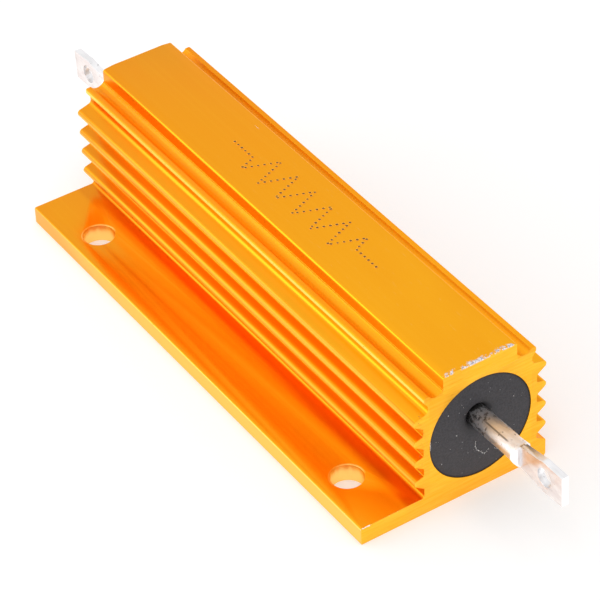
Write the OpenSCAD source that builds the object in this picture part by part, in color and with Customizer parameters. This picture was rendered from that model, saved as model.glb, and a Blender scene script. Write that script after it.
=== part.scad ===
// Aluminium housed power resistor with one mounting flange, in millimetres.
//
// The housing is one length of extruded aluminium. A ceramic core wound with
// resistance wire lies in its bore, potted between two end seals, and a
// terminal leaves each seal as a round pin that is pressed flat to an eyeleted
// blade.
//
// X runs along the body, with the front end at +X. Y runs across it, with the
// flange at -Y. Z is up. The origin is on the base, under the bore's axis.

/* [Housing] */
// Length of the extruded housing
body_l = 90; // [60:1:120]
// Height of the housing over its top land
body_h = 23.4; // [22.6:0.1:27]
// Diameter of the bore that holds the resistor element
bore_d = 17.3; // [16:0.1:18.4]
// Wall between the base and the bore
floor_t = 2.75; // [2:0.05:3.4]
// Wall between the bore and the roots of the side fins
side_wall = 1.05; // [0.8:0.05:2]

/* [Flange] */
// Thickness of the mounting flange
flange_t = 3; // [2:0.1:3.6]
// Width of the flange beyond the tips of the fins
flange_w = 9.2; // [8:0.1:14]
// Radius along the long edges of the flange
flange_edge_r = 0.3; // [0.1:0.05:0.6]
// Fillet where the flange meets the side of the housing
flange_fillet_r = 0.5; // [0.3:0.05:0.9]
// Diameter of the two mounting holes
hole_d = 5; // [3:0.1:6]
// Distance between the two mounting holes
hole_pitch = 68; // [40:1:74]
// How far the pair of holes sits towards the front end
hole_offset = 1; // [-2:0.1:2]

/* [Side fins] */
// Number of full fins on each side
fin_count = 4; // [2:1:4]
// Distance from one fin to the next
fin_pitch = 3.65; // [3.3:0.05:3.75]
// Depth of the grooves between the fins
fin_depth = 1.6; // [1.2:0.05:2.5]
// Radius of the round tip of a fin
fin_tip_r = 0.62; // [0.4:0.02:0.7]
// Slope of the top of a fin, in degrees
fin_top_slope = 15; // [5:1:18]
// Slope of the underside of a fin, in degrees
fin_under_slope = 35; // [20:1:38]
// Radius at the root of a fin, above it
fin_root_r = 0.2; // [0.1:0.05:0.35]
// Height of the toe along the base, on the side without the flange
toe_h = 3.2; // [2.6:0.1:3.6]
// Radius of the corners of the toe
toe_r = 0.45; // [0.2:0.05:0.8]
// Slope of the top of the toe, in degrees
toe_slope = 30; // [10:1:40]

/* [Top] */
// Width of the raised land along the top
land_w = 12.5; // [11.6:0.1:13.2]
// Radius of the two shoulders of the land
land_shoulder_r = 0.45; // [0.3:0.05:0.8]
// Width of the strip along each edge of the land that falls away
land_strip_w = 1.2; // [0.6:0.1:2]
// How far that strip falls
land_strip_fall = 0.15; // [0.05:0.05:0.3]
// How far the shelf beside the land lies below it
shelf_drop = 2.35; // [2:0.05:2.8]
// Distance from the shelf down to the middle of the first full fin's tip
shelf_to_fin = 3.95; // [3.7:0.05:4.2]
// Width of the hollow between the land and the shelf
trough_w = 2.2; // [1.6:0.1:2.4]
// Depth of that hollow
trough_depth = 0.6; // [0.3:0.05:0.8]
// Flat ledge between the land and the hollow
trough_ledge = 0.15; // [0.1:0.05:0.3]
// Height of the lip along the outer edge of the shelf
lip_h = 1; // [0.8:0.05:1.2]
// Radius of the corners of the lip
lip_r = 0.3; // [0.15:0.05:0.4]
// How far the lip ends short of the tips of the fins
lip_inset = 1.8; // [1:0.1:2]
// Depth of the groove under the lip
lip_depth = 0.65; // [0.4:0.05:0.9]
// Slope of the underside of the lip, in degrees
lip_under_slope = 55; // [30:1:60]
// Radius in the corner of that groove, where the top fin starts
groove_r = 0.7; // [0.3:0.05:0.8]

/* [Terminals] */
// Diameter of a terminal's pin
pin_d = 3.3; // [2:0.1:3.6]
// How far a terminal stands out of the end of the housing
terminal_l = 19.7; // [17:0.1:26]
// Thickness of the pressed blade
blade_t = 1.15; // [0.5:0.05:1.5]
// Height of the blade beside its eye
blade_h = 5.3; // [4.8:0.1:7]
// Height of the blade at its tip
blade_tip_h = 5; // [4:0.1:5.1]
// Height of the blade where the pin starts to be flat
blade_neck_h = 3.6; // [3.4:0.1:5]
// Length of round pin between the housing and the pressed shoulder
pin_free_l = 8.5; // [6:0.1:9.5]
// Length of the pressed shoulder between the pin and the blade
shoulder_l = 2; // [1:0.1:4]
// Diameter of the eye in the blade
eye_d = 3; // [2:0.1:3.4]
// Distance from the centre of the eye to the tip of the blade
eye_back = 3.9; // [3:0.1:5.5]
// Radius to which a pin is bent where it leaves the seal
bend_r = 8; // [4:1:20]
// How far the front pin lies above the axis of the bore
front_pin_rise = 2; // [-1:0.1:2.5]
// How far the front pin lies to the right of that axis
front_pin_side = -0.4; // [-1:0.1:1]
// How far the front terminal is bent up, in degrees
front_bend = 1.5; // [-5:0.5:6]
// How far the rear pin lies above the axis of the bore
rear_pin_rise = 0.3; // [-1:0.1:2]
// How far the rear pin lies to the right of that axis
rear_pin_side = 0; // [-1:0.1:1]
// How far the rear terminal is bent up, in degrees
rear_bend = -2.5; // [-5:0.5:6]

/* [End seals] */
// Thickness of an end seal
seal_t = 5; // [3:0.5:8]
// How far a seal's face lies inside the end of the housing
seal_inset = 0.1; // [0:0.05:0.5]
// Width of the dimple round a pin
dimple_w = 0.7; // [0.3:0.1:1.2]
// Depth of the dimple round a pin
dimple_depth = 0.5; // [0.2:0.1:1]

/* [Resistor element] */
// Diameter of the ceramic core
core_d = 8; // [7:0.5:10]
// Distance from an end of the core to the seal in front of it
core_gap = 7; // [4:0.5:10]
// Wall of the pressed end caps
cap_wall = 0.5; // [0.3:0.05:0.8]
// Depth of the end caps over the core
cap_depth = 6; // [4:0.5:8]
// Diameter of the resistance wire
wire_d = 0.5; // [0.3:0.05:0.8]
// Distance from one turn of the wire to the next
wire_pitch = 2.2; // [1.6:0.1:4]

/* [Fits] */
// Clearance between bonded or pressed pieces
fit = 0.02; // [0.01:0.01:0.05]

/* [Hidden] */
$fn = 64;

// Colours of the finishes
gold_anodised = "#f0a32c";
black_compound = "#444244";
tinned = "#dcd9d4";
steatite = "#e9e4d6";
nickel_plated = "#b9bcc0";
resistance_alloy = "#8d8a86";
grey_potting = "#8a8883";

// Main lines of the housing's section
bore_r = bore_d / 2;
axis_h = floor_t + bore_r;
fin_root = bore_r + side_wall;
fin_reach = fin_root + fin_depth;
flange_reach = fin_reach + flange_w;
shelf_top = body_h - shelf_drop;
land_r = land_w / 2;
lip_reach = fin_reach - lip_inset;
lip_root = lip_reach - lip_depth;
top_fin_h = shelf_top - shelf_to_fin;
hole_y = -(fin_reach + flange_w / 2);
// A cut reaches this far past the solid that it goes through
past = 1;

// Stations along a terminal, from the end of the housing
shoulder_x = pin_free_l;
blade_x = pin_free_l + shoulder_l;
eye_x = terminal_l - eye_back;
pin_r = pin_d / 2;
shoulder_r = blade_neck_h / 2;

// The resistor element
core_r = core_d / 2;
core_l = body_l - 2 * (seal_inset + seal_t + core_gap);
cap_r = core_r + fit + cap_wall;
cap_end = core_l / 2 + fit + cap_wall;
wire_steps = 16;
wire_sides = 6;
wire_r = wire_d / 2;
// The chords of the helix stay clear of the core
wire_run_r = (core_r + fit) / cos(180 / wire_steps) + wire_r;
wire_room = core_l - 2 * cap_depth - wire_d - 2 * fit;
wire_turns = floor(wire_room / wire_pitch);
pocket_r = max(cap_r, wire_run_r + wire_r) + fit;
filling_l = body_l - 2 * (seal_inset + seal_t + fit);

// ---- Section of the housing, with Y to the right and Z up ----

// Points along an arc, with a new point about every ten degrees
function arc(middle, r, from, to) =
    let (steps = max(2, ceil(abs(to - from) / 10)))
    [for (i = [0 : steps]) let (a = from + (to - from) * i / steps) middle + r * [cos(a), sin(a)]];

// The height at "y" of a line that passes through the point p and falls outwards by slope degrees
function on_slope(p, slope, y) = p.y + (p.x - y) * tan(slope);

// A full fin on the right side, from below to above, with its tip's middle at height h.
// Its top runs in to top_y, where a corner of radius r turns up
function fin_points(h, top_y, r) =
    let (
        tip = arc([fin_reach - fin_tip_r, h], fin_tip_r, fin_under_slope - 90, 90 - fin_top_slope),
        top = tip[len(tip) - 1],
        middle_h = on_slope(top, fin_top_slope, top_y)
            + r * (1 - sin(fin_top_slope)) / cos(fin_top_slope)
    )
    concat(
        [[fin_root, on_slope(tip[0], -fin_under_slope, fin_root)]],
        tip,
        arc([top_y + r, middle_h], r, 270 - fin_top_slope, 180)
    );

// The lip along the shelf, with a flat outer face between two round corners
function lip_points() =
    let (
        y = lip_reach - lip_r,
        lower = arc([y, shelf_top - lip_h + lip_r], lip_r, lip_under_slope - 90, 0)
    )
    concat(
        [[lip_root, on_slope(lower[0], -lip_under_slope, lip_root)]],
        lower,
        arc([y, shelf_top - lip_r], lip_r, 0, 90)
    );

// The hollow between the lip and the land is part of a circle
function trough_points() =
    let (
        r = (pow(trough_w / 2, 2) + pow(trough_depth, 2)) / (2 * trough_depth),
        half = asin(trough_w / (2 * r)),
        middle = [land_r + trough_ledge + trough_w / 2, shelf_top - trough_depth + r]
    )
    concat(arc(middle, r, half - 90, -half - 90), [[land_r, shelf_top]]);

// The shoulder of the land, and the strip that falls away to it
function land_points() =
    let (middle = [land_r - land_shoulder_r, body_h - land_strip_fall - land_shoulder_r])
    concat(arc(middle, land_shoulder_r, 0, 90), [[middle.x - land_strip_w, body_h]]);

// The right side from the lowest fin up to the land
function side_points() =
    concat(
        [for (i = [fin_count - 1 : -1 : 1])
            each fin_points(top_fin_h - i * fin_pitch, fin_root, fin_root_r)],
        fin_points(top_fin_h, lip_root, groove_r),
        lip_points(),
        trough_points(),
        land_points()
    );

// The base on the right side ends in a toe under the lowest fin
function toe_points() =
    let (
        y = fin_reach - toe_r,
        upper = arc([y, toe_h - toe_r], toe_r, 0, 90 - toe_slope)
    )
    concat(
        arc([y, toe_r], toe_r, -90, 0),
        upper,
        [[fin_root, on_slope(upper[len(upper) - 1], toe_slope, fin_root)]]
    );

// The base on the left side is the flange, with a fillet where it meets the housing
function flange_points() =
    let (
        y = -flange_reach + flange_edge_r,
        fillet = [-fin_root - flange_fillet_r, flange_t + flange_fillet_r]
    )
    concat(
        arc(fillet, flange_fillet_r, 0, -90),
        arc([y, flange_t - flange_edge_r], flange_edge_r, 90, 180),
        arc([y, flange_edge_r], flange_edge_r, 180, 270)
    );

module housing_section() {
    right = side_points();
    left = [for (i = [len(right) - 1 : -1 : 0]) [-right[i].x, right[i].y]];
    polygon(concat(toe_points(), right, left, flange_points()));
}

// A section drawn in Y and Z, extruded along X about the origin
module along_x(l) {
    rotate([90, 0, 90]) linear_extrude(height = l, center = true) children();
}

// A round bar along X, from x_from to x_to
module rod_x(r, x_from, x_to) {
    translate([x_from, 0, 0]) rotate([0, 90, 0]) cylinder(r = r, h = x_to - x_from);
}

module housing() {
    color(gold_anodised) difference() {
        along_x(body_l) housing_section();
        translate([0, 0, axis_h]) rod_x(bore_r, -body_l / 2 - past, body_l / 2 + past);
        for (side = [-1, 1])
            translate([side * hole_pitch / 2 + hole_offset, hole_y, -past])
                cylinder(d = hole_d, h = flange_t + 2 * past);
    }
}

// ---- Terminals ----

// Side view of the blade, from inside the pin to the tip, rounded out beside the eye
module blade_outline() {
    upper = concat(
        [[terminal_l, blade_tip_h / 2]],
        arc([eye_x, 0], blade_h / 2, 75, 115),
        [[blade_x, blade_neck_h / 2]]
    );
    lower = [for (i = [len(upper) - 1 : -1 : 0]) [upper[i].x, -upper[i].y]];
    polygon(concat([[shoulder_x, 0]], lower, upper));
}

// Seen from above, the shoulder is pressed in from both sides to the blade
module shoulder_plan(from) {
    flat_x = blade_x + blade_t / 2;
    press_x = (shoulder_x + blade_x) / 2;
    polygon([
        [from, -shoulder_r], [press_x, -shoulder_r], [flat_x, -blade_t / 2],
        [flat_x, blade_t / 2], [press_x, shoulder_r], [from, shoulder_r]
    ]);
}

// The pin swells a little before it is pressed flat
module swelling_pin(from) {
    rotate([0, 90, 0]) rotate_extrude()
        polygon([[0, from], [pin_r, from], [pin_r, shoulder_x], [shoulder_r, blade_x], [0, blade_x]]);
}

// The straight part of a terminal outside the housing, along X, from x = from
module terminal_outside(from) {
    difference() {
        union() {
            intersection() {
                swelling_pin(from);
                translate([0, 0, -blade_h])
                    linear_extrude(height = 2 * blade_h) shoulder_plan(from - past);
            }
            rotate([90, 0, 0]) linear_extrude(height = blade_t, center = true) blade_outline();
        }
        translate([eye_x, 0, 0]) rotate([90, 0, 0])
            cylinder(d = eye_d, h = blade_t + 2 * past, center = true);
    }
}

// A terminal at the +X end: its pin runs in to the core's end cap, and is bent at the seal.
// Behind the bend the pin is thinner by the fit, so that it runs into the bend
module terminal(rise, side, bend) {
    exit_x = body_l / 2 - seal_inset;
    angle = abs(bend);
    bend_l = bend_r * sin(angle);
    translate([0, side, axis_h + rise]) {
        rod_x(pin_r - fit, cap_end + fit, exit_x + fit);
        translate([exit_x, 0, 0]) rotate([bend < 0 ? 180 : 0, 0, 0])
            translate([bend_l, 0, bend_r * (1 - cos(angle))]) rotate([0, -angle, 0]) {
                if (angle > 0)
                    translate([0, 0, bend_r]) mirror([1, 0, 0]) rotate([90, 90, 0])
                        rotate_extrude(angle = angle) translate([bend_r, 0]) circle(pin_r);
                translate([seal_inset - bend_l, 0, 0]) terminal_outside(bend_l - seal_inset);
            }
    }
}

module front_terminal() {
    color(tinned) terminal(front_pin_rise, front_pin_side, front_bend);
}

module rear_terminal() {
    color(tinned) mirror([1, 0, 0]) terminal(rear_pin_rise, rear_pin_side, rear_bend);
}

// ---- End seals ----

// A seal at the +X end, with its dimple and its hole for the pin
module seal(rise, side) {
    face_x = body_l / 2 - seal_inset;
    hole_r = pin_r + fit;
    difference() {
        translate([0, 0, axis_h]) rod_x(bore_r - fit, face_x - seal_t, face_x);
        translate([0, side, axis_h + rise]) {
            rod_x(hole_r, face_x - seal_t - past, face_x + past);
            translate([face_x - dimple_depth, 0, 0]) rotate([0, 90, 0])
                cylinder(r1 = hole_r, r2 = hole_r + 2 * dimple_w, h = 2 * dimple_depth);
        }
    }
}

module front_seal() {
    color(black_compound) seal(front_pin_rise, front_pin_side);
}

module rear_seal() {
    color(black_compound) mirror([1, 0, 0]) seal(rear_pin_rise, rear_pin_side);
}

// ---- Resistor element ----

module ceramic_core() {
    color(steatite) translate([0, 0, axis_h]) rod_x(core_r, -core_l / 2, core_l / 2);
}

// A pressed cup over the +X end of the core
module core_cap() {
    translate([0, 0, axis_h]) difference() {
        rod_x(cap_r, core_l / 2 - cap_depth, cap_end);
        rod_x(core_r + fit, core_l / 2 - cap_depth - past, core_l / 2 + fit);
    }
}

module front_core_cap() {
    color(nickel_plated) core_cap();
}

module rear_core_cap() {
    color(nickel_plated) mirror([1, 0, 0]) core_cap();
}

// A point of the helix's ring: k counts the rings, s the corners round one ring
function wire_point(k, s) =
    let (
        turn = 360 * k / wire_steps,
        lead = atan(wire_pitch / (2 * PI * wire_run_r)),
        corner = 360 * s / wire_sides,
        outward = [0, cos(turn), sin(turn)],
        along = [cos(lead), sin(lead) * sin(turn), -sin(lead) * cos(turn)],
        x = wire_pitch * (k / wire_steps - wire_turns / 2)
    )
    [x, 0, 0] + wire_run_r * outward + wire_r * (cos(corner) * outward + sin(corner) * along);

// The wire runs round the core from the rim of one cap to the rim of the other
module resistance_wire() {
    rings = wire_turns * wire_steps;
    points = [for (k = [0 : rings], s = [0 : wire_sides - 1]) wire_point(k, s)];
    skin = [for (k = [0 : rings - 1], s = [0 : wire_sides - 1])
        let (a = k * wire_sides + s, b = k * wire_sides + (s + 1) % wire_sides)
        [a, b, b + wire_sides, a + wire_sides]];
    first_end = [for (s = [wire_sides - 1 : -1 : 0]) s];
    last_end = [for (s = [0 : wire_sides - 1]) rings * wire_sides + s];
    color(resistance_alloy) translate([0, 0, axis_h])
        polyhedron(points, concat(skin, [first_end], [last_end]), convexity = 10);
}

// Potting fills the bore round the element, between the two seals
module filling() {
    color(grey_potting) difference() {
        translate([0, 0, axis_h]) difference() {
            rod_x(bore_r - fit, -filling_l / 2, filling_l / 2);
            rod_x(pocket_r, -cap_end - fit, cap_end + fit);
        }
        translate([0, front_pin_side, axis_h + front_pin_rise]) rod_x(pin_r + fit, 0, body_l / 2);
        translate([0, rear_pin_side, axis_h + rear_pin_rise]) rod_x(pin_r + fit, -body_l / 2, 0);
    }
}

housing();
front_seal();
rear_seal();
front_terminal();
rear_terminal();
ceramic_core();
front_core_cap();
rear_core_cap();
resistance_wire();
filling();
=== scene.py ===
"""Looks of an aluminium housed power resistor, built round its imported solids."""

import math

import bmesh
import bpy
from mathutils import Matrix, Vector


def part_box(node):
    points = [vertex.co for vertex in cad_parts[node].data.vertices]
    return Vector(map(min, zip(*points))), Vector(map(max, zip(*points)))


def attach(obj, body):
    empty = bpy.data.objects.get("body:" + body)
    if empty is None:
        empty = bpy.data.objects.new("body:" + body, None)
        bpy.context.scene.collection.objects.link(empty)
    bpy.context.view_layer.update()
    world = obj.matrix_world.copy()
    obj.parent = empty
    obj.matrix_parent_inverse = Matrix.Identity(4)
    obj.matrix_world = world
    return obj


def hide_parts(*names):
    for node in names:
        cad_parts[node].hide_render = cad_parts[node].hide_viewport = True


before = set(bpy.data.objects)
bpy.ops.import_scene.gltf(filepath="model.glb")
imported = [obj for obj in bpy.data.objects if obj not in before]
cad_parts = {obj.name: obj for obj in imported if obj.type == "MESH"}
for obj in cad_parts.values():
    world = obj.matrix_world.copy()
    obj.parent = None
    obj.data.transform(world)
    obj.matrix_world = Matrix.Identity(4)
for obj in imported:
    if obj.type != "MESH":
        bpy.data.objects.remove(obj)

bpy.context.view_layer.update()


# ---- Camera -----------------------------------------------------------------
# A long lens looks down on the front end of the housing from the side with the
# flange, so that the housing runs away to the upper left.

MM = 0.001
view_turn, view_rise, view_roll = 1.0161192, 0.6863817, -0.0504710
view_distance = 475.334 * MM
aim_height, aim_left, aim_below = 10 * MM, 0.2287 * MM, 4.538 * MM
back = Vector((
    math.sin(view_turn) * math.cos(view_rise),
    -math.cos(view_turn) * math.cos(view_rise),
    math.sin(view_rise),
))
level = Vector((math.cos(view_turn), math.sin(view_turn), 0))
upright = back.cross(level)
right = level * math.cos(view_roll) + upright * math.sin(view_roll)
upward = upright * math.cos(view_roll) - level * math.sin(view_roll)
aim = Vector((0, 0, aim_height)) - right * aim_left - upward * aim_below

lens = bpy.data.cameras.new("camera")
lens.lens = 192.62
lens.sensor_width = 36
lens.clip_start = 0.01
camera = bpy.data.objects.new("camera", lens)
turned = Matrix((right, upward, back)).transposed().to_4x4()
camera.matrix_world = Matrix.Translation(aim + back * view_distance) @ turned
bpy.context.scene.collection.objects.link(camera)
bpy.context.scene.camera = camera


# ---- Floor and light --------------------------------------------------------
# A white table runs out of sight and meets a white room. A wide soft lamp
# stands low on the side with the flange, towards the far end, and a square one
# hangs high over the front end.


class Wire:
    """A socket of a finish or of a pattern, so that its maths reads as sums."""

    def __init__(self, tree, socket=None):
        self.tree, self.socket = tree, socket

    def node(self, kind, settings=None, inputs=None, out=0):
        """A new node: its settings come first, then the values or wires of its sockets."""
        made = self.tree.nodes.new(kind)
        for name, value in (settings or {}).items():
            setattr(made, name, value)
        for name, value in (inputs or {}).items():
            if isinstance(value, Wire):
                self.tree.links.new(value.socket, made.inputs[name])
            elif isinstance(value, list):
                for wire in value:
                    self.tree.links.new(wire.socket, made.inputs[name])
            else:
                made.inputs[name].default_value = value
        return Wire(self.tree, made.outputs[out] if made.outputs else None)

    def out(self, name):
        """Another socket of the node that this wire comes from."""
        return Wire(self.tree, self.socket.node.outputs[name])

    def maths(self, operation, a, b=0.0):
        return self.node("ShaderNodeMath", {"operation": operation}, {0: a, 1: b})

    def __add__(self, other):
        return self.maths("ADD", self, other)

    def __radd__(self, other):
        return self.maths("ADD", other, self)

    def __sub__(self, other):
        return self.maths("SUBTRACT", self, other)

    def __rsub__(self, other):
        return self.maths("SUBTRACT", other, self)

    def __mul__(self, other):
        return self.maths("MULTIPLY", self, other)

    def __rmul__(self, other):
        return self.maths("MULTIPLY", other, self)

    def __abs__(self):
        return self.maths("ABSOLUTE", self)


def new_material(name):
    """An empty material, and a wire to start its nodes from."""
    material = bpy.data.materials.new(name)
    material.use_nodes = True
    material.node_tree.nodes.clear()
    return material, Wire(material.node_tree)


def seen_directly(start):
    """1 for what the camera sees itself, in a shiny surface or through a clear one."""
    ray = start.node("ShaderNodeLightPath", out="Is Camera Ray")
    shown = start.maths("MAXIMUM", ray, ray.out("Is Glossy Ray"))
    return start.maths("MAXIMUM", shown, ray.out("Is Transmission Ray"))


room = bpy.data.worlds.new("room")
room.use_nodes = True
room.node_tree.nodes.clear()
air = Wire(room.node_tree)
white = (1, 1, 1, 1)
white_seen = air.node("ShaderNodeBackground", None, {"Color": white, "Strength": 1.0})
white_cast = air.node("ShaderNodeBackground", None, {"Color": white, "Strength": 0.75})
air.node("ShaderNodeOutputWorld", None, {"Surface": air.node(
    "ShaderNodeMixShader", None, {0: seen_directly(air), 1: white_cast, 2: white_seen})})
bpy.context.scene.world = room

table_finish, table_start = new_material("white_table")
paint = table_start.node("ShaderNodeBsdfDiffuse", None, {"Color": (0.8, 0.79, 0.785, 1)})
mirrored = table_start.node("ShaderNodeLightPath", out="Is Glossy Ray")
glow = table_start.node("ShaderNodeEmission", None, {
    "Color": white, "Strength": 0.3 * seen_directly(table_start) + 0.3 * mirrored})
table_start.node("ShaderNodeOutputMaterial", None, {
    "Surface": table_start.node("ShaderNodeAddShader", None, {0: paint, 1: glow})})
bpy.ops.mesh.primitive_plane_add(size=8, location=(0, 0, 0))
table = bpy.context.object
table.name = "table"
table.data.materials.append(table_finish)


def lamp(name, place, aimed_at, size, watts):
    """A flat soft lamp that faces a point. Places are in millimetres, sizes in metres."""
    light = bpy.data.lights.new(name, "AREA")
    light.shape = "RECTANGLE"
    light.size, light.size_y = size
    light.energy = watts
    held = bpy.data.objects.new(name, light)
    place, aimed_at = Vector(place) * MM, Vector(aimed_at) * MM
    faced = (aimed_at - place).to_track_quat("-Z", "Y").to_matrix().to_4x4()
    held.matrix_world = Matrix.Translation(place) @ faced
    bpy.context.scene.collection.objects.link(held)


lamp("left_lamp", (-170, -260, 90), (10, 0, 12), (0.46, 0.26), 0.55)
lamp("high_lamp", (160, -40, 520), (10, 0, 10), (0.40, 0.40), 0.5)

# The view and the light are as written, with no look on top.
bpy.context.scene.view_settings.view_transform = "Standard"


# ---- Housing ----------------------------------------------------------------
# One sawn length of extruded aluminium, etched to a satin skin and anodised
# gold. It stands on its base, with the flange along the left side, and the front
# edge of its top has been rubbed bare. Sizes here and below are in millimetres.

housing_low, housing_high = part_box("housing")
front_x, land_z, flange_y = housing_high.x / MM, housing_high.z / MM, housing_low.y / MM
hole_places, hole_y, hole_r = (-33, 35), -15.9, 2.5
hollow_near, hollow_far, hollow_z = 6.25, 9.6, 20.2
lip_near, lip_far, lip_z = 9.25, 9.75, 20.1
fin_root, fin_tip, fin_top = 8.7, 11.2, 17.2


def skin(node, edge, finish, smooth=32, steps=2):
    """A merged copy of a CAD node with its sharp edges broken, which stands for it."""
    shell = bmesh.new()
    shell.from_mesh(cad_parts[node].data)
    bmesh.ops.remove_doubles(shell, verts=shell.verts, dist=1e-6)
    bmesh.ops.dissolve_limit(shell, angle_limit=0.005, verts=shell.verts, edges=shell.edges)
    for face in shell.faces:
        face.smooth = True
    mesh = bpy.data.meshes.new(node + "_skin")
    shell.to_mesh(mesh)
    shell.free()
    piece = bpy.data.objects.new(node + "_skin", mesh)
    bpy.context.scene.collection.objects.link(piece)
    mesh.materials.append(finish)
    broken = piece.modifiers.new("broken_edges", "BEVEL")
    broken.width = edge * MM
    broken.segments = steps
    broken.limit_method = "ANGLE"
    broken.angle_limit = math.radians(smooth)
    broken.harden_normals = True
    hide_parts(node)
    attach(piece, "root")


def in_mm(start, stretch=(1, 1, 1), turn=(0, 0, 0), shift=(0, 0, 0)):
    """Object coordinates in millimetres, turned and stretched for a pattern."""
    return start.node("ShaderNodeMapping", None, {
        "Vector": start.node("ShaderNodeTexCoord", out="Object"),
        "Location": shift, "Rotation": turn,
        "Scale": tuple(stretch_by / MM for stretch_by in stretch)})


def noise(start, stretch, detail=2.0, roughness=0.5, turn=(0, 0, 0), shift=(0, 0, 0)):
    """Cloudy noise from 0 to 1, whose stretch is its number of lumps in a millimetre."""
    return start.node("ShaderNodeTexNoise", None, {
        "Vector": in_mm(start, stretch, turn, shift), "Scale": 1.0,
        "Detail": detail, "Roughness": roughness})


def rise(value, low, high):
    """A smooth step from 0 to 1 as a value goes from low to high."""
    return value.node("ShaderNodeMapRange", {"interpolation_type": "SMOOTHSTEP"}, {
        "Value": value, "From Min": low, "From Max": high, "To Min": 0.0, "To Max": 1.0})


def blend(share, a, b):
    """One colour fading into another."""
    return share.node("ShaderNodeMix", {"data_type": "RGBA"}, {
        0: share,
        6: a if isinstance(a, Wire) else (*a, 1),
        7: b if isinstance(b, Wire) else (*b, 1)}, out=2)


def reach(y, z):
    """How far a point lies from the origin of two coordinates."""
    return y.maths("SQRT", y * y + z * z)


def surface(start, links, **constants):
    """The shader of a finish. Constants are set on its own sockets."""
    shader = start.node("ShaderNodeBsdfPrincipled", None, {
        **{name.replace("_", " "): value for name, value in constants.items()}, **links})
    start.node("ShaderNodeOutputMaterial", None, {"Surface": shader})


gold_finish, gold = new_material("gold_anodised")
place = gold.node("ShaderNodeSeparateXYZ", None, {"Vector": in_mm(gold)})
along, across, height = place.out("X"), place.out("Y"), place.out("Z")
cut_end = rise(abs(along), front_x - 0.09, front_x - 0.03)
outer_edge_sheen = rise(across, flange_y + 0.12, flange_y + 0.04)
aside = abs(across)
trough = (rise(aside, hollow_near, hollow_near + 0.15) * rise(aside, hollow_far, hollow_far - 0.15)
          * rise(height, hollow_z, hollow_z + 0.1))
fin_tip_light_and_shade = (rise(aside, fin_tip - 0.25, fin_tip) * rise(aside, fin_tip + 0.3, fin_tip + 0.2)
       * rise(height, 3.6, 4.6))
groove = (rise(aside, fin_root, fin_root + 0.1) * rise(aside, fin_tip - 0.3, fin_tip - 0.7)
          * rise(height, fin_top, fin_top - 0.4))
foot_corner = rise(across, -13.2, -12.2) * rise(height, 3.7, 3.2)
recess_shade = gold.maths("MAXIMUM", groove, foot_corner)
upward_face = rise(gold.node("ShaderNodeSeparateXYZ", None, {
    "Vector": gold.node("ShaderNodeTexCoord", out="Normal")}).out("Z"), -0.1, 0.5)
lip_highlight = (rise(aside, lip_near, lip_near + 0.15) * rise(aside, lip_far, lip_far - 0.15)
       * rise(height, lip_z, lip_z + 0.2) * (1 - upward_face))

# The die leaves lines along the whole length, the etch a fine grain and the dye
# faint clouds. The saw leaves lines across the ends, on a slight slant.
die_lines = noise(gold, (0.012, 1.7, 1.7), 4.0, 0.65)
fine_lines = noise(gold, (0.03, 7.0, 7.0), 3.0, 0.6)
grain = noise(gold, (5.0, 5.0, 5.0), 3.0, 0.6)
cloud = noise(gold, (0.06, 0.16, 0.16), 2.0, 0.5)
saw_lines = noise(gold, (1.0, 0.14, 2.8), 4.0, 0.7, turn=(0.06, 0, 0))

# The colour is painted lighter towards the front end and darker towards the far end, as painted
# light.
# Painted shade deepens it in the grooves. Painted highlights pale the fin tips, the lip, the hole
# rims and the flange's edge. The cut ends are paler, partly from the saw and partly as painted
# sheen.
dye_and_painted_light = blend(rise(along, -50, 40), (0.89, 0.315, 0.006), (0.92, 0.40, 0.008))
dye_and_painted_light = blend(rise(cloud, 0.3, 0.7) * 0.4, dye_and_painted_light, (0.88, 0.35, 0.006))
dye_and_painted_light = blend(rise(die_lines, 0.45, 0.7) * (0.15 + trough * 0.35), dye_and_painted_light, (0.94, 0.44, 0.02))
# Painted shade deepens the colour in the grooves and in the foot corner.
dye_and_painted_light = blend(recess_shade * 0.9, dye_and_painted_light, (0.80, 0.25, 0.004))
# Painted highlight on the upper faces of the fin tips and painted shade on their lower faces.
dye_and_painted_light = blend(fin_tip_light_and_shade * 0.9, dye_and_painted_light, blend(upward_face, (0.97, 0.60, 0.10), (0.80, 0.25, 0.02)))
# Painted highlight on the face of the lip.
dye_and_painted_light = blend(lip_highlight, dye_and_painted_light, (0.98, 0.72, 0.16))
# The saw lines are the metal's own, and the paler level of the cut ends is painted sheen.
sawn_with_sheen = blend(rise(saw_lines, 0.35, 0.65), (0.93, 0.43, 0.022), (0.96, 0.52, 0.045))
dye_and_painted_light = blend(cut_end * 0.8, dye_and_painted_light, sawn_with_sheen)
# Painted sheen along the outer edge of the flange.
dye_and_painted_light = blend(outer_edge_sheen * 0.8, dye_and_painted_light, (0.93, 0.52, 0.13))
# Painted highlight on the far side of each hole's rim.
for hole_x in hole_places:
    from_hole = reach(along - hole_x, across - hole_y)
    hole_rim_highlight = rise(from_hole, hole_r + 0.3, hole_r + 0.18) * rise(along - hole_x, 1.2, -0.8)
    dye_and_painted_light = blend(hole_rim_highlight * 0.8, dye_and_painted_light, (0.97, 0.66, 0.20))

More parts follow.
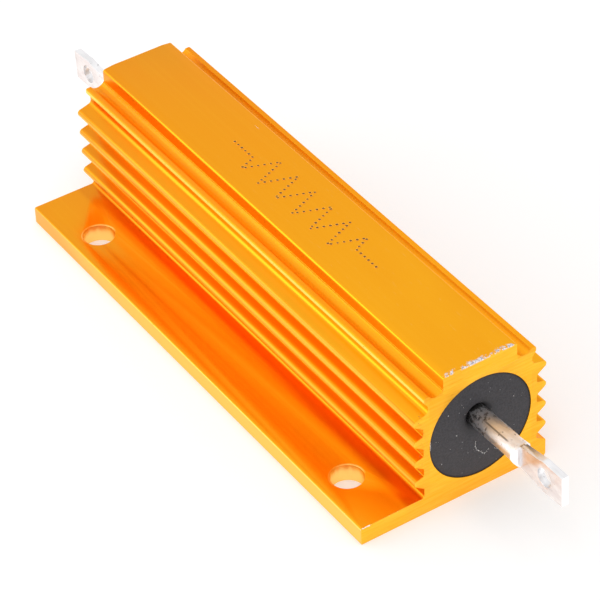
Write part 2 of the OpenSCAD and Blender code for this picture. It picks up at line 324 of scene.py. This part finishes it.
# Bare metal shows where the front edge of the top has been rubbed.
rub = noise(gold, (1.3, 1.5, 1.3), 5.0, 0.75)
front_edge = (rise(along + (rub - 0.5) * 2.4, front_x - 0.6, front_x - 0.25)
              * rise(height, land_z - 0.4, land_z - 0.15))
left_patch = rise(across, -3.6, -2.2) * rise(across, 1.0, -0.4)
right_patch = rise(across, 3.3, 4.3) * rise(across, 6.0, 5.3)
thin_patch = rise(across, -6.2, -5.2) * rise(across, 5.8, 5.2)
worn = front_edge * rise(rub + (left_patch + right_patch) * 0.13 + thin_patch * 0.08, 0.60, 0.66)
scuffed = rise(noise(gold, (4.0, 4.0, 4.0), 3.0, 0.6), 0.40, 0.60)
dye_and_painted_light = blend(worn, dye_and_painted_light, blend(scuffed, (0.42, 0.38, 0.42), (0.84, 0.80, 0.83)))
scratches = noise(gold, (0.5, 9.0, 9.0), 2.0, 0.5, turn=(0, 0, 0.5))
on_land = rise(height, land_z - 0.1, land_z - 0.05)
scratched = rise(scratches, 0.70, 0.76) * on_land * rise(along, -50, 60)
dye_and_painted_light = blend(scratched * 0.5, dye_and_painted_light, (0.96, 0.60, 0.22))

relief = (die_lines * (0.45 + trough * 1.6) * (1 - cut_end)
          + fine_lines * 0.12 * (1 - cut_end) + grain * 0.25
          + saw_lines * cut_end * 5.0 + rub * worn)
surface(gold, {
    "Base Color": dye_and_painted_light,
    "Roughness": (0.27 + die_lines * 0.06 + grain * 0.05 + trough * 0.24 + cut_end * 0.08
                  - worn * 0.05),
    "Normal": gold.node("ShaderNodeBump", None, {
        "Strength": 1.0, "Distance": 0.000012, "Height": relief})},
    Metallic=1.0, Specular_Tint=(1, 0.8, 0.5, 1), Coat_Weight=0.12, Coat_Roughness=0.2,
    Coat_IOR=1.5)

skin("housing", 0.10, gold_finish)


# ---- Marking ----------------------------------------------------------------
# The sign for a resistor, two leads and a zigzag, is dot-peened along the land.
# Each blow of the pin leaves a small raised rim round a flat disc that is painted dark as the pit's
# shade.

sign_start, sign_end = -17, 20
zigzag_start, zigzag_end, zigzag_y, zigzag_turns = -12, 15, 2.8, 12
dot_pitch, dot_r, dot_rim, dot_lift = 0.95, 0.23, 0.04, 0.012


def new_tree(name, **inputs):
    """A tree that grows a mesh on the edges it is given, and its named inputs."""
    tree = bpy.data.node_groups.new(name, "GeometryNodeTree")
    tree.interface.new_socket("Geometry", in_out="INPUT", socket_type="NodeSocketGeometry")
    for title, kind in inputs.items():
        tree.interface.new_socket(title, in_out="INPUT", socket_type="NodeSocket" + kind)
    tree.interface.new_socket("Geometry", in_out="OUTPUT", socket_type="NodeSocketGeometry")
    return Wire(tree).node("NodeGroupInput")


def finish_tree(given, shapes):
    """The last nodes of a tree: real meshes, in the finish that was asked for."""
    real = given.node("GeometryNodeRealizeInstances", None, {"Geometry": shapes})
    given.node("NodeGroupOutput", None, {"Geometry": given.node(
        "GeometryNodeSetMaterial", None, {"Geometry": real, "Material": given.out("Finish")})})
    return given.tree


def spaced(given):
    """Points along the given edges, one for each pitch."""
    path = given.node("GeometryNodeMeshToCurve", None, {"Mesh": given.out("Geometry")})
    return given.node("GeometryNodeResampleCurve", {"mode": "LENGTH"}, {
        "Curve": path, "Length": given.out("Pitch")})


def between(given, kind, low, high, seed):
    """A random number or vector for each point, always the same for the same seed."""
    first = {"FLOAT_VECTOR": 0, "FLOAT": 2}[kind]
    return given.node("FunctionNodeRandomValue", {"data_type": kind}, {
        first: low, first + 1: high, "Seed": seed}, out=first // 2)


def grown(name, points, tree, slot, **values):
    """A plain mesh that a tree makes along a line of points in millimetres."""
    mesh = bpy.data.meshes.new(name)
    mesh.from_pydata([Vector(point) * MM for point in points],
                     [(k, k + 1) for k in range(len(points) - 1)], [])
    piece = bpy.data.objects.new(name, mesh)
    bpy.context.scene.collection.objects.link(piece)
    modifier = piece.modifiers.new("grown", "NODES")
    modifier.node_group = tree
    for item in tree.interface.items_tree:
        if item.in_out == "INPUT" and item.name in values:
            modifier[item.identifier] = values[item.name]
    bpy.context.view_layer.update()
    shown = piece.evaluated_get(bpy.context.evaluated_depsgraph_get())
    piece.data = bpy.data.meshes.new_from_object(shown)
    piece.modifiers.clear()
    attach(piece, "root")


dots = new_tree("peened_dots", Pitch="Float", Radius="Float", Rim="Float", Seed="Int",
                Finish="Material")
ring = dots.node("GeometryNodeCurvePrimitiveCircle", None, {
    "Resolution": 12, "Radius": dots.out("Radius")})
bead = dots.node("GeometryNodeCurvePrimitiveCircle", None, {
    "Resolution": 5, "Radius": dots.out("Rim")})
rim = dots.node("GeometryNodeCurveToMesh", None, {"Curve": ring, "Profile Curve": bead})
disc = dots.node("GeometryNodeFillCurve", None, {"Curve": ring})
pit = dots.node("GeometryNodeStoreNamedAttribute", {"data_type": "FLOAT"}, {
    "Geometry": disc, "Name": "pit", "Value": 1.0})
dot = dots.node("GeometryNodeJoinGeometry", None, {"Geometry": [rim, pit]})
blows = dots.node("GeometryNodeInstanceOnPoints", None, {
    "Points": spaced(dots), "Instance": dot,
    "Scale": between(dots, "FLOAT", 0.85, 1.15, dots.out("Seed"))})
dots_tree = finish_tree(dots, blows)

peened_finish, peened = new_material("peened_dots")
# The flat disc inside each rim is painted dark as the shade of the pit.
shaded_pit = peened.node("ShaderNodeAttribute", {"attribute_name": "pit"}, out="Fac")
pit_shade = blend(noise(peened, (2.0, 2.0, 2.0), 3.0, 0.6), (0.10, 0.045, 0.012), (0.30, 0.13, 0.02))
surface(peened, {
    "Base Color": blend(shaded_pit, (0.93, 0.46, 0.06), pit_shade),
    "Roughness": 0.35 + shaded_pit * 0.3, "Metallic": 1 - shaded_pit * 0.8})
zigzag_step = (zigzag_end - zigzag_start) / zigzag_turns
zigzag = [(zigzag_start + zigzag_step * (k + 0.5), zigzag_y if k % 2 else -zigzag_y)
          for k in range(zigzag_turns)]
sign = [(sign_start, 0), (zigzag_start, 0), *zigzag, (zigzag_end, 0), (sign_end, 0)]
grown("peened_sign", [(x, y, land_z + dot_lift) for x, y in sign], dots_tree, "gold_anodised",
      Pitch=dot_pitch * MM, Radius=dot_r * MM, Rim=dot_rim * MM, Seed=4, Finish=peened_finish)


# ---- Burrs and nicks --------------------------------------------------------
# The saw and later knocks leave crumbs of bare or dyed metal along the edges,
# thick at the corners and thin along the lip of the left hollow.

crumbs = new_tree("crumbs", Pitch="Float", Size="Float", Spread="Vector", Seed="Int",
                  Finish="Material")
spread, roll = crumbs.out("Spread"), crumbs.out("Seed")
other_way = crumbs.node("ShaderNodeVectorMath", {"operation": "SCALE"}, {0: spread, "Scale": -1.0})
strewn = crumbs.node("GeometryNodeSetPosition", None, {
    "Geometry": spaced(crumbs),
    "Offset": between(crumbs, "FLOAT_VECTOR", other_way, spread, roll)})
crumb = crumbs.node("GeometryNodeMeshIcoSphere", None, {
    "Radius": crumbs.out("Size"), "Subdivisions": 1})
laid = crumbs.node("GeometryNodeInstanceOnPoints", None, {
    "Points": strewn, "Instance": crumb,
    "Rotation": between(crumbs, "FLOAT_VECTOR", (0, 0, 0), (3.1, 3.1, 3.1), roll + 7),
    "Scale": between(crumbs, "FLOAT_VECTOR", (0.3, 0.3, 0.15), (1.3, 1.0, 0.6), roll + 3)})
crumbs_tree = finish_tree(crumbs, laid)


def crumb_finish(name, dark, light, metal):
    """A dull finish for crumbs, mottled between two colours."""
    finish, start = new_material(name)
    mottle = noise(start, (3.0, 3.0, 3.0), 3.0, 0.6)
    surface(start, {"Base Color": blend(rise(mottle, 0.4, 0.6), dark, light),
                    "Roughness": 0.35 + mottle * 0.2}, Metallic=metal)
    return finish


bare = crumb_finish("bare_metal", (0.80, 0.76, 0.74), (0.95, 0.93, 0.92), 1.0)
pale_gold = crumb_finish("pale_gold", (0.93, 0.55, 0.10), (0.98, 0.80, 0.40), 1.0)
singed = crumb_finish("singed_gold", (0.22, 0.09, 0.02), (0.55, 0.24, 0.04), 0.6)


def whole_length(y, z):
    """The line along the housing, from its far end to its front end."""
    return [(-front_x, y, z), (front_x, y, z)]


# Each row has its line, the pitch and the size of its crumbs, how far they
# stray along X, Y and Z, and their finish.
rows = {
    "lip_burrs": (whole_length(-9.42, 20.72), 0.5, 0.10, (0.2, 0.07, 0.06), pale_gold),
    "lip_specks": (whole_length(-9.46, 20.62), 0.8, 0.08, (0.3, 0.05, 0.1), singed),
    "corner_nick": (
        [(front_x, flange_y + 0.05, 2.95), (front_x, -19.0, 2.97)],
        0.10, 0.12, (0.03, 0.05, 0.05), bare),
    "flange_front_nicks": (
        [(front_x, -18.6, 2.97), (front_x, -10.5, 2.97)],
        0.7, 0.06, (0.03, 0.2, 0.03), pale_gold),
    "flange_side_nicks": (whole_length(flange_y, 2.97), 1.3, 0.06, (0.4, 0.02, 0.03), pale_gold),
    "far_edge_nick": (
        [(-front_x, -4.3, land_z), (-front_x, -2.8, land_z)],
        0.14, 0.09, (0.03, 0.05, 0.03), bare),
    "land_edge_nick": (
        [(-18.7, 4.58, land_z - 0.03), (-17.5, 4.58, land_z - 0.03)],
        0.12, 0.09, (0.03, 0.03, 0.02), bare),
    "notch_burrs": (
        [(front_x, -10.6, 19.4), (front_x, -9.9, 14.6), (front_x, -10.3, 7.6)],
        0.35, 0.08, (0.02, 0.4, 0.2), singed),
}
for seed, (name, (points, pitch, size, stray, finish)) in enumerate(rows.items()):
    grown(name, points, crumbs_tree, "gold_anodised", Pitch=pitch * MM, Size=size * MM,
          Spread=Vector(stray) * MM, Seed=seed, Finish=finish)


# ---- End seals --------------------------------------------------------------
# Black compound is poured in round each pin and sets matt, with a shallow
# dimple at the pin and specks of dust in its face. A pale trace and a few
# crumbs lie on the front one.

seal_low, seal_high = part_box("front_seal")
seal_x, bore_h = seal_high.x / MM, (seal_low.z + seal_high.z) / 2 / MM
seal_r = (seal_high.y - seal_low.y) / 2 / MM
pin_side, dimple_h = -0.4, 13.2
dust_r, dust_step = 5.6, 0.6

black_finish, black = new_material("black_compound")
pores = noise(black, (4.0, 4.0, 4.0), 4.0, 0.6)
dust = noise(black, (2.3, 2.3, 2.3), 1.0, 0.5, shift=(3, 5, 1))
speck = rise(dust, 0.76, 0.80)
seal_place = black.node("ShaderNodeSeparateXYZ", None, {"Vector": in_mm(black)})
seal_y, seal_z = seal_place.out("Y"), seal_place.out("Z")
# Painted shadow darkens the compound along its ragged rim at the gap to the housing, and painted
# shade darkens the dimple round the pin.
ragged = reach(seal_y, seal_z - bore_h) + (pores - 0.5) * 0.5
rim_shadow = rise(ragged, seal_r - 0.35, seal_r - 0.1)
pin_dimple_shade = rise(reach(seal_y - pin_side, seal_z - dimple_h), 3.6, 1.7)
shade = black.maths("MAXIMUM", rim_shadow, pin_dimple_shade * 0.7)
compound = blend(rise(pores, 0.3, 0.7), (0.024, 0.022, 0.026), (0.058, 0.054, 0.060))
compound = blend(shade, compound, (0.010, 0.009, 0.010))
surface(black, {
    "Base Color": blend(speck, compound, (0.5, 0.49, 0.47)),
    "Roughness": 0.58 + pores * 0.25,
    "Normal": black.node("ShaderNodeBump", None, {
        "Strength": 0.8, "Distance": 0.00005, "Height": pores})})
for end in ("front", "rear"):
    skin(end + "_seal", 0.08, black_finish)

dust_finish = crumb_finish("pale_dust", (0.70, 0.68, 0.66), (0.92, 0.91, 0.90), 0.0)
ring_of_dust = [
    (seal_x, dust_r * math.cos(dust_step * k), bore_h + dust_r * math.sin(dust_step * k))
    for k in range(11)]
traces = {
    "seal_dust": (ring_of_dust, 1.5, 0.08, (0.01, 2.2, 2.2)),
    "seal_nick": ([(seal_x, -8.5, 11.2), (seal_x, -8.5, 12.7)], 0.10, 0.11, (0.01, 0.03, 0.03)),
    "seal_trace": (
        [(seal_x, -0.8, 8.9), (seal_x, -0.9, 8.0), (seal_x, -0.6, 7.0), (seal_x, 0.0, 6.6),
         (seal_x, 0.4, 5.9), (seal_x, 1.0, 5.8), (seal_x, 1.3, 6.4)],
        0.19, 0.12, (0.01, 0.09, 0.09)),
    "seal_crumb": ([(seal_x, 2.4, 5.9), (seal_x, 3.0, 5.5)], 0.17, 0.10, (0.01, 0.05, 0.05)),
}
for seed, (name, (points, pitch, size, stray)) in enumerate(traces.items(), 20):
    grown(name, points, crumbs_tree, "black_compound", Pitch=pitch * MM, Size=size * MM,
          Spread=Vector(stray) * MM, Seed=seed, Finish=dust_finish)


# ---- Terminals --------------------------------------------------------------
# Each is a tinned pin that is pressed flat to a blade and pierced with an eye.
# Its foot is held in the seal. The tin has dark mottles of dirt and grows darker towards the foot.
# Places are along X.

foot_start, foot_end = 45.0, 50.0
blade_start, blade_end = 55.0, 56.2
crease_y = -1.3

tinned_finish, tinned = new_material("tinned_pin")
pin_place = tinned.node("ShaderNodeSeparateXYZ", None, {"Vector": in_mm(tinned)})
pin_x, pin_y = pin_place.out("X"), pin_place.out("Y")
faced = tinned.node("ShaderNodeSeparateXYZ", None, {
    "Vector": tinned.node("ShaderNodeTexCoord", out="Normal")})
foot = rise(abs(pin_x), foot_end, foot_start)
blade = rise(abs(pin_x), blade_start, blade_end)
press = noise(tinned, (0.35, 1.2, 0.5), 4.0, 0.65)
tin_mottle = noise(tinned, (0.5, 0.9, 0.9), 5.0, 0.65, shift=(2, 1, 4))
dirt = noise(tinned, (1.3, 1.3, 1.3), 4.0, 0.6, shift=(1, 0, 2))
scuffs = noise(tinned, (0.9, 6.0, 6.0), 3.0, 0.6)
# Painted shade and painted reflection: the flat faces of the blade get a darker, pinker tin,
# mottled at random.
blade_face_shade = rise(abs(faced.out("Y")), 0.7, 0.95) * blade
tin = blend(rise(press, 0.3, 0.7), (0.80, 0.79, 0.80), (0.90, 0.89, 0.90))
tin = blend(blade_face_shade, tin, blend(rise(tin_mottle, 0.35, 0.65), (0.66, 0.59, 0.57), (0.76, 0.71, 0.69)))
# Dark mottles of dirt, which grow darker towards the foot and fainter on the blade.
dirt_and_shade = rise(dirt + foot * 0.17 - blade * 0.06, 0.58, 0.74)
# Painted shade along the crease of the pin, where its flattened facets meet.
crease_shade = rise(abs(pin_y - crease_y), 0.14, 0.05) * rise(pin_x, 46.5, 48.5) * rise(pin_x, 53.4, 52.6)
dirt_and_shade = dirt_and_shade.maths("MAXIMUM", dirt_and_shade, crease_shade * 0.8)
surface(tinned, {
    "Base Color": blend(dirt_and_shade, tin, (0.20, 0.19, 0.185)),
    "Roughness": 0.26 + tin_mottle * 0.2,
    "Normal": tinned.node("ShaderNodeBump", None, {
        "Strength": 1.0, "Distance": 0.00006, "Height": press + scuffs * 0.3})},
    Metallic=1.0)
for end in ("front", "rear"):
    skin(end + "_terminal", 0.2, tinned_finish, smooth=40, steps=3)


# ---- Resistor element -------------------------------------------------------
# Inside the bore lies a steatite core with pressed end caps, wound with
# resistance wire and potted in grey cement.

# Each slot has its nodes, its darker and lighter colour, metalness and roughness.
plain = {
    "steatite": ("ceramic_core", (0.80, 0.77, 0.68), (0.86, 0.84, 0.76), 0.0, 0.6),
    "cap_steel": ("front_core_cap rear_core_cap", (0.52, 0.53, 0.55), (0.63, 0.64, 0.66), 1.0, 0.3),
    "resistance_alloy": ("resistance_wire", (0.36, 0.34, 0.32), (0.48, 0.46, 0.43), 1.0, 0.35),
    "grey_potting": ("filling", (0.24, 0.235, 0.23), (0.36, 0.35, 0.34), 0.0, 0.8),
}
for slot, (nodes, dark, light, metal, rough) in plain.items():
    finish, start = new_material(slot)
    mottle = noise(start, (1.5, 1.5, 1.5), 4.0, 0.6)
    surface(start, {
        "Base Color": blend(mottle, dark, light),
        "Roughness": rough + mottle * 0.1,
        "Normal": start.node("ShaderNodeBump", None, {
            "Strength": 0.5, "Distance": 0.00004, "Height": mottle})}, Metallic=metal)
    for node in nodes.split():
        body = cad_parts[node]
        body.data.materials.clear()
        body.data.materials.append(finish)


# ---- Last update ------------------------------------------------------------
# The view layer is brought up to date once everything is added.

bpy.context.view_layer.update()
